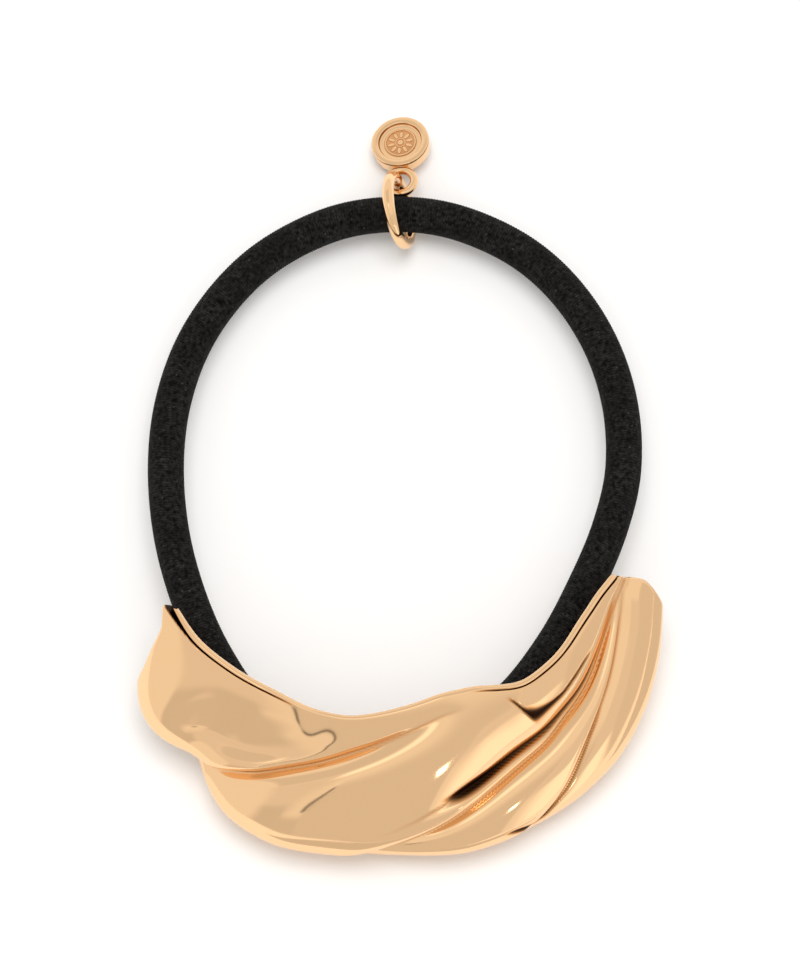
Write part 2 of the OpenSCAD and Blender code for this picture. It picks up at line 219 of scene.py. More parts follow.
# Jump ring and charm: the ring leans from upright and is turned about it, the charm's eyelet hangs
# at an angle up or down from the ring's far side, and the charm slopes, rolls and turns
ring_d = 10.1
ring_wire = 1.5
ring_lean = 18.0
ring_turn = 6.0
link_angle = -19.0
eyelet_aside = 0.2
eyelet_away = 0.18
charm_d = 7.4
charm_t = 1.9
charm_rim = 0.95
charm_sink = 0.5
eyelet_hole = 2.45
eyelet_wire = 1.05
charm_reach = 5.7
charm_slope = 15.0
charm_roll = 10.0
charm_turn = 2.0
rosette_petals = 10
# The charm's rounded corners: under the rim, over it, inside it, and where it meets the face
charm_roundings = (0.35, 0.16, 0.22, 0.2)
# The groove round the charm's side: its top and bottom, measured down from the rim, and its depth
side_groove = (0.17, 0.42, 0.06)
# Tarnish on the charm: how dark its sunk face is and out to where; and how dark the painted shade
# inside its eyelet is, and over what reach
face_tarnish = 0.32
face_tarnish_reach = 2.15
eyelet_shade = 0.4
eyelet_shade_reach = 0.3
# How high the relief on the face stays dark, and over what height it clears
relief_dark_height = 0.16
relief_clears_over = 0.12
# The dark line under the rim, a painted dark reflection: how far below the rim's top, half its height,
# how much more that is to the left and right, and how far from the charm's middle it starts and past
# the face's edge it ends
rim_line_down = 0.2
rim_line_half = 0.07
rim_line_more = 0.08
rim_line_start = 2.3
rim_line_past = 0.06
# Edges of the charm that turn by more than this angle stay crisp
crisp_angle = 50
# The two rings round the rosette on the charm's face: radius and half the wire's width
FACE_RINGS = [
    (1.95, 0.11),
    (0.62, 0.08),
]
# The rosette's petals: place out from the middle, half length, width and height; first one's angle
petal_place = 1.22
petal_half = (0.5, 0.24, 0.2)
petal_start = 12
boss_half = (0.4, 0.4, 0.26)

# Colours of the metal: clean, part darkened at the share given, and fully darkened, by painted shade
# and dark reflection with some tarnish
rose_gold = (0.93, 0.61, 0.34)
brown_gold = (0.70, 0.34, 0.13)
brown_gold_at = 0.4
black_shade_and_tarnish = (0.018, 0.006, 0.003)
# Roughness of the polish, from its clearest to its haziest places, and what the full painted shade and
# tarnish adds
polish_roughness = (0.045, 0.085)
polish_haze_scale = 60
shade_and_tarnish_roughness = 0.35
# The cover's threads, its uneven patches and its lint, as repeats a metre, and their colours, which
# also carry painted shade between the ribs
thread_scale = 2100
patch_scale = 420
lint_scale = 720
lint_edge = (0.13, 0.04)
cover_deep = (0.0012, 0.0011, 0.001)
cover_lit = (0.034, 0.0325, 0.03)
cover_lint = (0.07, 0.068, 0.06)
thread_height = 0.00005
floor_white = (0.93, 0.93, 0.93)


# Selecting and finishing
def deselect_all():
    if bpy.context.mode != "OBJECT":
        bpy.ops.object.mode_set(mode="OBJECT")
    bpy.ops.object.select_all(action="DESELECT")


def only(piece):
    deselect_all()
    bpy.context.view_layer.objects.active = piece
    piece.select_set(True)


def apply_modifiers(piece):
    only(piece)
    for modifier in list(piece.modifiers):
        bpy.ops.object.modifier_apply(modifier=modifier.name)


def points_of(piece):
    points = np.empty(len(piece.data.vertices) * 3)
    piece.data.vertices.foreach_get("co", points)
    return points.reshape(-1, 3)


def place_points(piece, points):
    piece.data.vertices.foreach_set("co", np.ascontiguousarray(points, dtype=np.float32).ravel())
    piece.data.update()


def weld(piece, distance):
    only(piece)
    bpy.ops.object.mode_set(mode="EDIT")
    bpy.ops.mesh.select_all(action="SELECT")
    bpy.ops.mesh.remove_doubles(threshold=distance)
    bpy.ops.mesh.normals_make_consistent(inside=False)
    bpy.ops.object.mode_set(mode="OBJECT")


def smooth(piece):
    only(piece)
    bpy.ops.object.shade_smooth()


def grid(name, columns, rows):
    """A flat sheet of columns by rows of faces, from 0 to 1 each way."""
    deselect_all()
    bpy.ops.mesh.primitive_grid_add(x_subdivisions=columns, y_subdivisions=rows, size=1,
                                    location=(0.5, 0.5, 0))
    sheet = bpy.context.object
    sheet.name = name
    bpy.ops.object.transform_apply(location=True, rotation=True, scale=True)
    return sheet


# Curves and turns
def eased(table, column, reach):
    """A column of a table as a smooth function of its first column."""
    places = [row[0] for row in table]
    values = [row[column] for row in table]
    step = reach / 30
    fine = np.arange(places[0] - 5 * reach, places[-1] + 5 * reach, step)
    offsets = np.arange(-90, 91) * step
    weights = np.exp(-0.5 * (offsets / reach) ** 2)
    straight = np.pad(np.interp(fine, places, values), len(offsets) // 2, mode="edge")
    curve = np.convolve(straight, weights / weights.sum(), mode="valid")
    return lambda place: np.interp(place, fine, curve)


def bezier(corners, t):
    a, b, c, d = corners
    t = t[:, None]
    return (1 - t) ** 3 * a + 3 * (1 - t) ** 2 * t * b + 3 * (1 - t) * t ** 2 * c + t ** 3 * d


def bezier_way(corners, t):
    a, b, c, d = corners
    t = t[:, None]
    return (1 - t) ** 2 * (b - a) + 2 * (1 - t) * t * (c - b) + t ** 2 * (d - c)


def unit(v):
    return v / np.linalg.norm(v, axis=-1, keepdims=True)


def turn(angles):
    """Turns about x, then y, then z, in degrees."""
    x, y, z = (math.radians(a) for a in angles)
    return Matrix.Rotation(z, 3, "Z") @ Matrix.Rotation(y, 3, "Y") @ Matrix.Rotation(x, 3, "X")


# Crescent
section_curves = [eased(SECTIONS, column, azimuth_ease) for column in range(1, 7)]
first_azimuth = eased(ENDS, 1, share_ease)
last_azimuth = eased(ENDS, 2, share_ease)
hollow_curves = [
    (eased(table, 1, azimuth_ease), eased(table, 2, hollow_ease), above, below, sharp, part)
    for table, above, below, sharp, part in HOLLOWS
]
lip_seam = [eased(LIP_SEAM, column, azimuth_ease / 2) for column in (1, 2, 3)]
gap_curves = [
    [eased(table, column, ease) for column in (1, 2, 3)]
    for table, ease in ((CREST_GAP, azimuth_ease / 2), (CHANNEL_EDGE, gap_ease), (LOW_FOLD, gap_ease))
]


def section_corners(azimuth):
    """The corner points of the two curves of each section: lip to belly, and belly to foot."""
    lip_r, lip_z, belly_r, belly_z, foot_r, foot_z = (curve(azimuth) for curve in section_curves)
    lip = np.stack([lip_r, lip_z], 1)
    belly = np.stack([belly_r, belly_z], 1)
    foot = np.stack([foot_r, foot_z], 1)
    chord = np.linalg.norm(belly - lip, axis=1)[:, None]
    drop = belly - foot
    dip = math.radians(lip_dip)
    lip_handle = lip + chord * lip_pull * np.array([math.cos(dip), -math.sin(dip)])
    belly_handle = belly + chord * belly_pull * np.array([0.0, 1.0])
    under_handle = belly - drop * np.array([0.0, under_pull])
    foot_handle = foot + drop * np.array(foot_pull)
    return (lip, lip_handle, belly_handle, belly), (belly, under_handle, foot_handle, foot)


def on_section(azimuth, share):
    """Radius and height, outward way and length, at a share of the way from lip to foot."""
    upper, lower = section_corners(azimuth)
    samples = 48
    places = np.linspace(0, 2, 2 * samples + 1)
    line = [bezier(upper if p < 1 else lower, np.full(len(azimuth), p if p < 1 else p - 1))
            for p in places]
    steps = [np.linalg.norm(line[i + 1] - line[i], axis=1) for i in range(2 * samples)]
    lengths = np.vstack([np.zeros(len(azimuth)), np.cumsum(steps, axis=0)])
    target = share * lengths[-1]
    index = np.clip((lengths <= target).sum(axis=0) - 1, 0, 2 * samples - 1)
    column = np.arange(len(azimuth))
    start = lengths[index, column]
    place = (index + (target - start) / (lengths[index + 1, column] - start)) / samples
    first = (place < 1)[:, None]
    t = np.where(place < 1, place, place - 1)
    spot = np.where(first, bezier(upper, t), bezier(lower, t))
    way = unit(np.where(first, bezier_way(upper, t), bezier_way(lower, t)))
    return spot, np.stack([-way[:, 1], way[:, 0]], 1), lengths[-1]


def hollow_depth(azimuth, share, length, softness):
    depth = np.zeros(len(azimuth))
    for centre, deepest, above, below, sharp, part in hollow_curves:
        gap = (share - centre(azimuth)) * length
        reach = np.where(gap < 0, above, below) * softness
        if sharp:
            rounding = fold_rounding * softness
            side = np.exp((rounding - np.sqrt(gap ** 2 + rounding ** 2)) / reach)
        else:
            side = np.exp(-(gap / reach) ** 2)
        depth += part * deepest(azimuth) * side
    return depth


def smooth_step(t):
    t = np.clip(t, 0, 1)
    return t * t * (3 - 2 * t)


def seam_depth(azimuth, share, length, spread):
    """Depth of the narrow dark lines in the metal: the lip's seam and the gaps at the folds."""
    place, half, deepest = (curve(azimuth) for curve in lip_seam)
    depth = deepest * np.exp(-((share * length - place) / (half * spread)) ** 4)
    for curves in gap_curves:
        place, half, deepest = (curve(azimuth) for curve in curves)
        depth += deepest * np.exp(-((share - place) * length / (half * spread)) ** 2)
    return depth


def metal_points(azimuth, share, edge, front):
    """Points of the metal, measured from the crescent's centre; edge is the distance from the rim."""
    spot, outward, length = on_section(azimuth, share)
    half = wall_t / 2
    inset = np.clip(half - edge, 0, half)
    round_off = half - np.sqrt(half ** 2 - inset ** 2)
    front_depth = hollow_depth(azimuth, share, length, 1.0)
    back_depth = back_relief * hollow_depth(azimuth, share, length, back_softness)
    mixed = front_depth + (back_depth - front_depth) * smooth_step(edge / back_blend)
    seam = seam_depth(azimuth, share, length, 1.0)
    front_depth = front_depth + seam
    mixed = mixed + seam * (1 - smooth_step(edge / half))
    depth = np.where(front, front_depth + round_off, mixed + wall_t - round_off)
    spot = spot - depth[:, None] * outward
    angle = np.radians(azimuth)
    return np.stack([spot[:, 0] * np.sin(angle), -spot[:, 0] * np.cos(angle), spot[:, 1]], 1)


def crescent_shade_and_tarnish(azimuth, share, front):
    """How dark a place is painted, as painted shade and dark reflection with some tarnish: most in the
    lip's seam and the gaps, some in the sharp folds.
    """
    length = on_section(azimuth, share)[2]
    dark = 1 - np.exp(-seam_shade_and_tarnish * seam_depth(azimuth, share, length, seam_shade_spread))
    for centre, deepest, above, below, sharp, part in hollow_curves:
        if sharp:
            gap = (share - centre(azimuth)) * length
            near = np.exp(-(gap / fold_shade_reach) ** 2)
            dark = np.maximum(dark, fold_shade_and_tarnish * np.clip(deepest(azimuth), 0, 1) * near)
    return np.where(front, dark, 0.0)


def stations(count, length, fine_steps=0):
    """Even shares from 0 to 1, closer together where the rim is rounded and along the lip's seam."""
    angles = np.linspace(0, math.pi / 2, rim_steps + 1)
    rim = wall_t / 2 * (1 - np.cos(angles)) / length
    start = seam_rows_end / length if fine_steps else rim[-1]
    fine = np.linspace(rim[-1], start, fine_steps + 1)[:-1] if fine_steps else rim[:0]
    middle = np.linspace(start, 1 - rim[-1], count + 1 - 2 * rim_steps - fine_steps)
    return np.concatenate([rim[:-1], fine, middle, 1 - rim[-2::-1]])


def make_crescent():
    sheet = grid("ornament_crescent", crescent_columns, crescent_rows)
    wall = sheet.modifiers.new("wall", "SOLIDIFY")
    wall.thickness = 0.01
    wall.offset = -1
    apply_modifiers(sheet)
    flat = points_of(sheet)
    front = np.arange(len(flat)) < (crescent_columns + 1) * (crescent_rows + 1)
    column = np.rint(flat[:, 0] * crescent_columns).astype(int)
    row = np.rint(flat[:, 1] * crescent_rows).astype(int)
    share = stations(crescent_rows, section_length, seam_steps)[row]
    along = stations(crescent_columns, crescent_length)[column]
    low, high = first_azimuth(share), last_azimuth(share)
    azimuth = low + (high - low) * along
    down = np.minimum(share, 1 - share) * section_length
    across = np.minimum(azimuth - low, high - azimuth) * degree_length
    edge = np.maximum(0, np.minimum(down, across))
    place_points(sheet, metal_points(azimuth, share, edge, front) * MM)
    # Painted shade and dark reflection, with some tarnish, in the lip's seam, the gaps and the sharp
    # folds
    painted_shade_and_tarnish = sheet.data.attributes.new("painted_shade_and_tarnish", "FLOAT", "POINT")
    painted_shade_and_tarnish.data.foreach_set("value", crescent_shade_and_tarnish(azimuth, share, front).astype(np.float32))
    weld(sheet, 0.000001)
    smooth(sheet)
    return sheet


deselect_all()
crescent = make_crescent()


# Cord
def route_points(place):
    """A closed smooth curve through the route's points; place counts route points."""
    route = np.array(ROUTE)
    count = len(route)
    index = np.floor(place).astype(int)
    t = (place - index)[:, None]
    a, b, c, d = (route[(index + step) % count] for step in (-1, 0, 1, 2))
    return 0.5 * (2 * b + (c - a) * t + (2 * a - 5 * b + 4 * c - d) * t ** 2
                  + (3 * b - a - 3 * c + d) * t ** 3)


def cord_frame(place):
    """Centre, way, side and up of the cord at each place."""
    centre = route_points(place)
    way = unit(route_points(place + 0.02) - route_points(place - 0.02))
    side = unit(np.cross(way, [0.0, 0.0, 1.0]))
    return centre, way, side, np.cross(side, way)


def even_places(count):
    """Places the same distance apart along the route, and its whole length."""
    fine = np.linspace(0, len(ROUTE), 4801)
    steps = np.linalg.norm(np.diff(route_points(fine), axis=0), axis=1)
    along = np.concatenate([[0], np.cumsum(steps)])
    return np.interp(np.linspace(0, along[-1], count + 1), along, fine), along[-1]


def frame_shift():
    """The move, in metres, that takes the crescent's centre to its place in the frame."""
    line = route_points(even_places(2000)[0])
    low, high = (np.array(corner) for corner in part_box("elastic_loop"))
    return (low + high) / 2 - (line.min(axis=0) + line.max(axis=0)) / 2 * MM


to_frame = frame_shift()
place_points(crescent, points_of(crescent) + to_frame)


def make_cord():
    rings = cord_ribs * rib_steps
    sides = cord_wales * wale_steps
    tube = grid("elastic_cord", rings, sides)
    flat = points_of(tube)
    ring = np.rint(flat[:, 0] * rings).astype(int)
    side_number = np.rint(flat[:, 1] * sides).astype(int)
    places, length = even_places(rings)
    centre, way, side, up = cord_frame(places)
    angle = side_number * 2 * math.pi / sides
    wale = side_number / wale_steps
    # Every other wale's ribs lie half a rib further on
    stagger = math.pi * (np.floor(wale) % 2)
    rib = 0.5 + 0.5 * np.cos(2 * math.pi * ring / rib_steps + stagger)
    crown = np.abs(np.sin(math.pi * wale))
    radius = (cord_d / 2 + cover_proud
              - rib_depth * (1 - rib) * (0.4 + 0.6 * crown) - wale_depth * (1 - crown))
    points = centre[ring] + radius[:, None] * (
        np.cos(angle)[:, None] * side[ring] + np.sin(angle)[:, None] * up[ring])
    place_points(tube, points * MM + to_frame)
    # The ribs' height, lower between the ribs and the wales, which the cover's colour uses as painted
    # shade
    height = tube.data.attributes.new("rib", "FLOAT", "POINT")
    height.data.foreach_set("value", (rib * (0.6 + 0.4 * crown)).astype(np.float32))
    weld(tube, 0.000001)
    smooth(tube)
    return tube, centre * MM + to_frame, length * MM


cord, cord_line, cord_length = make_cord()


# Keepers
def wire_between(name, points, radius):
    """A round wire along a few points, as a mesh."""
    curve = bpy.data.curves.new(name, "CURVE")
    curve.dimensions = "3D"
    curve.bevel_depth = radius
    curve.bevel_resolution = 6
    curve.use_fill_caps = True
    spline = curve.splines.new("POLY")
    spline.points.add(len(points) - 1)
    for point, place in zip(spline.points, points):
        point.co = (*place, 1)
    wire = bpy.data.objects.new(name, curve)
    bpy.context.scene.collection.objects.link(wire)
    only(wire)
    bpy.ops.object.convert(target="MESH")
    return bpy.context.object


def make_keeper(number, place, azimuth, share):
    centre, way, side, up = (v[0] for v in cord_frame(np.array([place])))
    radius = cord_d / 2 + keeper_gap + keeper_wire / 2
    deselect_all()
    bpy.ops.mesh.primitive_torus_add(major_radius=radius * MM, minor_radius=keeper_wire / 2 * MM,
                                     major_segments=72, minor_segments=24)
    eye = bpy.context.object
    turned = Matrix((side, up, -way)).transposed().to_4x4()
    eye.data.transform(Matrix.Translation(Vector(centre * MM + to_frame)) @ turned)
    ends = metal_points(np.array([azimuth] * 2), np.array([share] * 2),
                        np.array([back_blend] * 2), np.array([True, False]))
    seat = ends.mean(axis=0) * MM + to_frame
    top = (centre + radius * up) * MM + to_frame
    post = wire_between("post", [top, seat], keeper_wire / 2 * MM)
    only(eye)
    post.select_set(True)
    bpy.ops.object.join()
    eye.name = "keeper_%d" % number
    smooth(eye)
    return eye


keepers = [make_keeper(i + 1, *row) for i, row in enumerate(KEEPERS)]


# Jump ring and charm
def make_ring(centre):
    deselect_all()
    bpy.ops.mesh.primitive_torus_add(major_radius=(ring_d - ring_wire) / 2 * MM,
                                     minor_radius=ring_wire / 2 * MM,
                                     major_segments=160, minor_segments=48)
    ring = bpy.context.object
    ring.name = "jump_ring_wire"
    ring.data.transform(Matrix.Translation(centre) @ turn((0, 90 - ring_lean, ring_turn)).to_4x4())
    smooth(ring)
    return ring


ring_low, ring_high = (Vector(corner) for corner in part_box("jump_ring"))
ring_centre = (ring_low + ring_high) / 2
ring = make_ring(ring_centre)


def turned_outline(name, outline, steps):
    """A closed body from an outline of radius and height, turned about z."""
    mesh = bpy.data.meshes.new(name)
    mesh.from_pydata([(r, 0, z) for r, z in outline], [(i, i + 1) for i in range(len(outline) - 1)], [])
    body = bpy.data.objects.new(name, mesh)
    bpy.context.scene.collection.objects.link(body)
    only(body)
    bpy.ops.object.mode_set(mode="EDIT")
    bpy.ops.mesh.select_all(action="SELECT")
    bpy.ops.mesh.spin(steps=steps, angle=2 * math.pi, center=(0, 0, 0), axis=(0, 0, 1))
    bpy.ops.mesh.select_all(action="SELECT")
    bpy.ops.mesh.remove_doubles(threshold=0.001)
    bpy.ops.mesh.normals_make_consistent(inside=False)
    bpy.ops.object.mode_set(mode="OBJECT")
    return body


def corner(centre, radius, start, end, steps=6):
    """Points of a rounded corner from one angle to another."""
    angles = [math.radians(start + (end - start) * i / steps) for i in range(steps + 1)]
    return [(centre[0] + radius * math.cos(a), centre[1] + radius * math.sin(a)) for a in angles]


def disc_outline():
    """From the middle of the underside, out round the rim and in to the middle of the sunk face."""
    r, top = charm_d / 2, charm_t / 2
    under, over, inner, cove = charm_roundings
    face, floor_height = r - charm_rim, top - charm_sink
    groove_top, groove_foot, groove_in = side_groove
    groove_r = r - groove_in
    return (
        [(0, -top)]
        + corner((r - under, -top + under), under, -90, 0)
        + [(r, top - groove_foot), (groove_r, top - groove_foot + 0.05),
           (groove_r, top - groove_top - 0.04)]
        + corner((r - over, top - over), over, 0, 84)
        + [((r + face) / 2, top + 0.02)]
        + corner((face + inner, top - inner), inner, 96, 180)
        + corner((face - cove, floor_height + cove), cove, 0, -90)
        + [(2.2, floor_height + 0.01), (2.1, floor_height + 0.01), (1.9, floor_height + 0.02),
           (1.2, floor_height + 0.04), (0, floor_height + 0.06)]
    )


def charm_shade_and_tarnish(points):
    """Painted dark reflection in the charm's side groove and under its rim, tarnish round its relief,
    and painted shade inside its eyelet.
    """
    x, y, z = points.T
    top, face_height = charm_t / 2, charm_t / 2 - charm_sink
    near = 0.01
    reach = np.hypot(x, y - charm_reach)
    on_disc = reach < charm_d / 2 + near
    groove_top, groove_foot = side_groove[:2]
    in_groove = (z > top - groove_foot + near) & (z < top - groove_top - near)
    groove = (in_groove & (reach > charm_d / 2 - 0.5)).astype(float)
    # The painted dark reflection under the rim is thicker to the left and right
    sideways = np.abs(x) / np.maximum(reach, near)
    height = rim_line_half + rim_line_more * smooth_step((sideways - 0.5) * 3)
    at_wall = (reach > rim_line_start) & (reach < charm_d / 2 - charm_rim + rim_line_past)
    wall = np.exp(-((z - top + rim_line_down) / height) ** 2) * at_wall
    on_face = (reach < face_tarnish_reach) & (z > 0)
    clear = smooth_step((face_height + relief_dark_height - z) / relief_clears_over)
    relief = face_tarnish * clear * on_face
    dark = np.where(on_disc, np.maximum(np.maximum(groove, wall), relief), 0.0)
    from_eyelet = np.hypot(x, y)
    eyelet_edge = eyelet_hole / 2 + eyelet_shade_reach
    inside = eyelet_shade * smooth_step((eyelet_edge - from_eyelet) / eyelet_shade_reach)
    return np.where((from_eyelet < eyelet_edge) & ~on_disc, inside, dark)


def make_charm(centre, placed):
    """The disc with its rim, sunk face and plain rosette, its neck and its eyelet, as one piece."""
    disc = turned_outline("charm_disc", disc_outline(), 128)
    parts = [disc]
    face_height = charm_t / 2 - charm_sink
    for radius, wire in FACE_RINGS:
        deselect_all()
        bpy.ops.mesh.primitive_torus_add(major_radius=radius, minor_radius=wire,
                                         location=(0, 0, face_height + 0.06),
                                         major_segments=96, minor_segments=12)
        parts.append(bpy.context.object)
    for i in range(rosette_petals):
        deselect_all()
        bpy.ops.mesh.primitive_uv_sphere_add(segments=20, ring_count=12, radius=1)
        petal = bpy.context.object
        angle = math.radians(360 / rosette_petals * i + petal_start)
        petal.data.transform(Matrix.Rotation(angle, 4, "Z")
                             @ Matrix.Translation((petal_place, 0, face_height + 0.02))
                             @ Matrix.Diagonal((*petal_half, 1)))
        parts.append(petal)
    deselect_all()
    bpy.ops.mesh.primitive_uv_sphere_add(segments=32, ring_count=16, radius=1)
    boss = bpy.context.object
    boss.data.transform(Matrix.Translation((0, 0, face_height + 0.04))
                        @ Matrix.Diagonal((*boss_half, 1)))
    parts.append(boss)
    for part in parts:
        part.data.transform(Matrix.Translation((0, charm_reach, 0)))
    eyelet_r = (eyelet_hole + eyelet_wire) / 2
    deselect_all()
    bpy.ops.mesh.primitive_torus_add(major_radius=eyelet_r, minor_radius=eyelet_wire / 2,
                                     major_segments=96, minor_segments=32)
    parts.append(bpy.context.object)
    # The neck's outline: radius, and distance from the eyelet's middle
    neck_end = charm_reach - charm_d / 2 + 0.4
    neck = turned_outline("neck", [
        (0, eyelet_r), (0.5, eyelet_r), (0.46, eyelet_r + 0.35), (0.5, neck_end - 0.45),
        (0.66, neck_end - 0.3), (0.66, neck_end), (0, neck_end),
    ], 32)
    neck.data.transform(Matrix.Rotation(-math.pi / 2, 4, "X"))
    parts.append(neck)
    only(disc)
    for part in parts[1:]:
        part.select_set(True)
    bpy.ops.object.join()
    # Painted dark reflection in the side groove and under the rim, painted shade inside the eyelet, and
    # tarnish on the face
    painted_shade_and_tarnish = disc.data.attributes.new("painted_shade_and_tarnish", "FLOAT", "POINT")
    painted_shade_and_tarnish.data.foreach_set("value", charm_shade_and_tarnish(points_of(disc)).astype(np.float32))
    disc.data.transform(Matrix.Scale(MM, 4))
    disc.data.transform(Matrix.Translation(centre) @ placed)
    only(disc)
    bpy.ops.object.shade_smooth_by_angle(angle=math.radians(crisp_angle))
    return disc


turned_ring = math.radians(ring_turn)
leant = math.radians(ring_lean)
ring_far = Vector((-math.sin(turned_ring), math.cos(turned_ring), 0))
ring_top = Vector((-math.sin(leant) * math.cos(turned_ring), -math.sin(leant) * math.sin(turned_ring),
                   math.cos(leant)))
link = math.radians(link_angle)
link_point = ring_centre + (ring_d - ring_wire) / 2 * MM * (
    math.cos(link) * ring_far + math.sin(link) * ring_top) + Vector((eyelet_aside, eyelet_away, 0)) * MM
charm = make_charm(link_point, turn((-charm_slope, -charm_roll, charm_turn)).to_4x4())


# Materials
def new_material(name):
    material = bpy.data.materials.new(name)
    material.use_nodes = True
    return material, material.node_tree.nodes, material.node_tree.links


def math_node(nodes, links, operation, a, b=None, c=None):
    node = nodes.new("ShaderNodeMath")
    node.operation = operation
    for slot, value in enumerate((a, b, c)):
        if isinstance(value, (int, float)):
            node.inputs[slot].default_value = value
        elif value is not None:
            links.new(value, node.inputs[slot])
    return node.outputs[0]


def soft_step(nodes, links, value, start, end):
    """0 below start and 1 above end, or the other way round where start is the higher."""
    node = nodes.new("ShaderNodeMapRange")
    node.interpolation_type = "SMOOTHSTEP"
    flipped = start > end
    node.inputs["From Min"].default_value = min(start, end)
    node.inputs["From Max"].default_value = max(start, end)
    node.inputs["To Min"].default_value = 1.0 if flipped else 0.0
    node.inputs["To Max"].default_value = 0.0 if flipped else 1.0
    links.new(value, node.inputs["Value"])
    return node.outputs["Result"]


def polished_gold():
    material, nodes, links = new_material("polished_rose_gold")
    shader = nodes["Principled BSDF"]
    shader.inputs["Base Color"].default_value = (*rose_gold, 1)
    shader.inputs["Metallic"].default_value = 1
    place = nodes.new("ShaderNodeTexCoord")
    haze = nodes.new("ShaderNodeTexNoise")
    haze.inputs["Scale"].default_value = polish_haze_scale
    haze.inputs["Detail"].default_value = 4
    links.new(place.outputs["Object"], haze.inputs["Vector"])
    span = nodes.new("ShaderNodeMapRange")
    span.inputs["To Min"].default_value, span.inputs["To Max"].default_value = polish_roughness
    links.new(haze.outputs["Fac"], span.inputs["Value"])
    # The painted shade and dark reflection, with some tarnish, take the colour through brown to near
    # black and roughen the polish
    painted_shade_and_tarnish = nodes.new("ShaderNodeAttribute")
    painted_shade_and_tarnish.attribute_name = "painted_shade_and_tarnish"
    shade_and_tarnish_ramp = nodes.new("ShaderNodeValToRGB")
    shade_and_tarnish_ramp.color_ramp.elements[0].color = (*rose_gold, 1)
    shade_and_tarnish_ramp.color_ramp.elements[1].color = (*black_shade_and_tarnish, 1)
    shade_and_tarnish_ramp.color_ramp.elements.new(brown_gold_at).color = (*brown_gold, 1)
    links.new(painted_shade_and_tarnish.outputs["Fac"], shade_and_tarnish_ramp.inputs["Fac"])
    links.new(shade_and_tarnish_ramp.outputs["Color"], shader.inputs["Base Color"])
    roughness = math_node(nodes, links, "MULTIPLY_ADD", painted_shade_and_tarnish.outputs["Fac"], shade_and_tarnish_roughness,
                          span.outputs["Result"])
    links.new(roughness, shader.inputs["Roughness"])
    return material


def noise(nodes, links, place, scale, detail, low, high):
    """Noise on the object's coordinates, spread so that low and high become 0 and 1."""
    texture = nodes.new("ShaderNodeTexNoise")
    texture.inputs["Scale"].default_value = scale
    texture.inputs["Detail"].default_value = detail
    links.new(place.outputs["Object"], texture.inputs["Vector"])
    spread = nodes.new("ShaderNodeMapRange")
    spread.inputs["From Min"].default_value = low
    spread.inputs["From Max"].default_value = high
    links.new(texture.outputs["Fac"], spread.inputs["Value"])
    return spread.outputs["Result"]


def cord_cover():
    """Near-black ribbed textile: uneven threads, darker between the ribs as painted shade, a few pale
    lint specks.
    """
    material, nodes, links = new_material("black_ribbed_cover")
    shader = nodes["Principled BSDF"]
    shader.inputs["Roughness"].default_value = 0.85
    shader.inputs["Specular IOR Level"].default_value = 0.08
    shader.inputs["Sheen Weight"].default_value = 0.02
    shader.inputs["Sheen Roughness"].default_value = 0.5
    place = nodes.new("ShaderNodeTexCoord")
    thread = noise(nodes, links, place, thread_scale, detail=2, low=0.31, high=0.69)
    patch = noise(nodes, links, place, patch_scale, detail=1, low=0.3, high=0.7)
    lint = nodes.new("ShaderNodeTexVoronoi")
    lint.inputs["Scale"].default_value = lint_scale
    links.new(place.outputs["Object"], lint.inputs["Vector"])
    speck = soft_step(nodes, links, lint.outputs["Distance"], *lint_edge)
    rib = nodes.new("ShaderNodeAttribute")
    rib.attribute_name = "rib"
    # Painted shade: darker between the ribs and wales
    rib_shade = math_node(nodes, links, "MULTIPLY_ADD", rib.outputs["Fac"], 0.6, 0.4)
    uneven = math_node(nodes, links, "MULTIPLY_ADD", patch, 0.4, 0.55)
    threaded = math_node(nodes, links, "MULTIPLY", rib_shade, thread)
    tone_and_rib_shade = math_node(nodes, links, "MULTIPLY", threaded, uneven)
    shade = nodes.new("ShaderNodeMix")
    shade.data_type = "RGBA"
    shade.inputs["A"].default_value = (*cover_deep, 1)
    shade.inputs["B"].default_value = (*cover_lit, 1)
    links.new(tone_and_rib_shade, shade.inputs["Factor"])
    dusted = nodes.new("ShaderNodeMix")
    dusted.data_type = "RGBA"
    links.new(math_node(nodes, links, "MULTIPLY", speck, 0.5), dusted.inputs["Factor"])
    links.new(shade.outputs["Result"], dusted.inputs["A"])
    dusted.inputs["B"].default_value = (*cover_lint, 1)
    links.new(dusted.outputs["Result"], shader.inputs["Base Color"])
    bump = nodes.new("ShaderNodeBump")
    bump.inputs["Strength"].default_value = 0.5
    bump.inputs["Distance"].default_value = thread_height
    links.new(thread, bump.inputs["Height"])
    links.new(bump.outputs["Normal"], shader.inputs["Normal"])
    return material


def pale_floor():
    material = new_material("pale_floor")[0]
    shader = material.node_tree.nodes["Principled BSDF"]
    shader.inputs["Base Color"].default_value = (*floor_white, 1)
    shader.inputs["Roughness"].default_value = 0.9
    shader.inputs["Specular IOR Level"].default_value = 0.0
    return material


gold = polished_gold()
for piece in (crescent, *keepers, ring, charm):
    piece.data.materials.clear()
    piece.data.materials.append(gold)
cord.data.materials.append(cord_cover())

# What each piece stands for
for piece in (crescent, *keepers):
    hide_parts("ornament")
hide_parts("elastic_loop")
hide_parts("jump_ring")
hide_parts("charm")
for piece in (crescent, *keepers, ring, charm):
    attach(piece, "root")
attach(cord, "root")

# Floor, light and camera
deselect_all()
bpy.ops.mesh.primitive_plane_add(size=6, location=(0, 0, 0))
floor = bpy.context.object
floor.name = "floor"
floor.data.materials.append(pale_floor())

